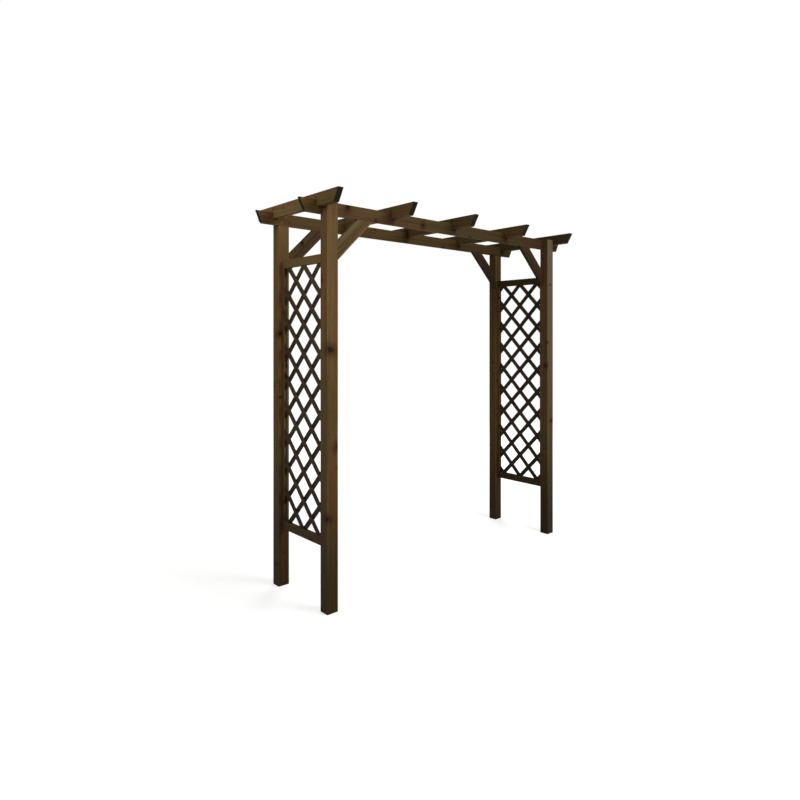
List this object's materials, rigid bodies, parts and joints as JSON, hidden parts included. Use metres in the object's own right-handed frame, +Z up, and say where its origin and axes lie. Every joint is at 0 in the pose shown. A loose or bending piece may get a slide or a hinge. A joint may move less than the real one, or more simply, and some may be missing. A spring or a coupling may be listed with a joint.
{
  "type": "timber garden arch",
  "caption": "Flat-topped timber garden arch: square posts, tapered-end beams and notched rafters, knee braces and framed diamond lattice sides.",
  "frame": {"origin": "on the ground, in the middle of the arch between its four posts", "axes": "+X along the two beams, +Y from front to back through the arch, +Z up"},
  "size_m": [2.28, 0.88, 2.236],
  "materials": {
    "stained_timber": "rough, dark brown stained softwood",
    "stained_lath": "rough, dark brown stained thin laths",
    "weathered_steel": "dull, dark plated screws and tacks"
  },
  "bodies": {
    "root": {"post_front_left": "stained_timber", "post_back_left": "stained_timber", "post_front_right": "stained_timber", "post_back_right": "stained_timber", "beam_front": "stained_timber", "beam_back": "stained_timber", "rafter_1": "stained_timber", "rafter_2": "stained_timber", "rafter_3": "stained_timber", "rafter_4": "stained_timber", "rafter_5": "stained_timber", "brace_front_left": "stained_timber", "brace_back_left": "stained_timber", "brace_front_right": "stained_timber", "brace_back_right": "stained_timber", "rail_top_left": "stained_timber", "rail_bottom_left": "stained_timber", "rail_top_right": "stained_timber", "rail_bottom_right": "stained_timber", "stile_front_left": "stained_timber", "stile_back_left": "stained_timber", "stile_front_right": "stained_timber", "stile_back_right": "stained_timber", "lattice_outer_left": "stained_lath", "lattice_inner_left": "stained_lath", "lattice_outer_right": "stained_lath", "lattice_inner_right": "stained_lath", "screws_rails": "weathered_steel", "screws_beams": "weathered_steel", "screws_rafters": "weathered_steel", "screws_braces": "weathered_steel", "tacks_left": "weathered_steel", "tacks_right": "weathered_steel"}
  },
  "joints": []
}
